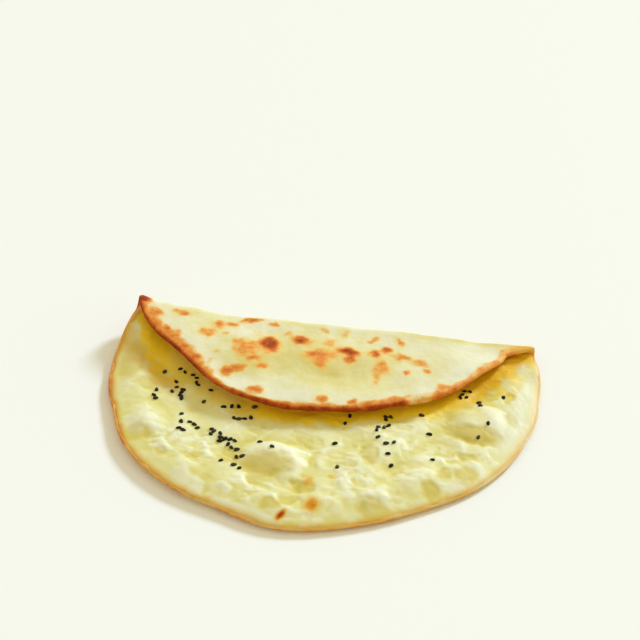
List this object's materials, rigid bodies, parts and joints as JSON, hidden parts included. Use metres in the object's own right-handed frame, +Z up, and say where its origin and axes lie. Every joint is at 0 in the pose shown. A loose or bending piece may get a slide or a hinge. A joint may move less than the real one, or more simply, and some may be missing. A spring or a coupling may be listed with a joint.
{
  "type": "cheese manakish",
  "caption": "Round thin flatbread covered with blistered melted cheese and black seeds, its far third folded over to show the toasted underside.",
  "frame": {"origin": "on the table, at the middle of the bottom of the folded bread's box", "axes": "+Z up; +X along the longest extent, to the right along the fold; +Y to the back, across the fold"},
  "size_m": [0.241, 0.1844, 0.0213],
  "materials": {
    "crust": "matt baked dough, pale, with toasted brown spots and a browned rim",
    "cheese": "satin melted cheese, pale yellow, slightly translucent",
    "seed": "dull black seed coat"
  },
  "bodies": {
    "root": {"bread": "crust", "cheese": "cheese"}
  },
  "joints": []
}
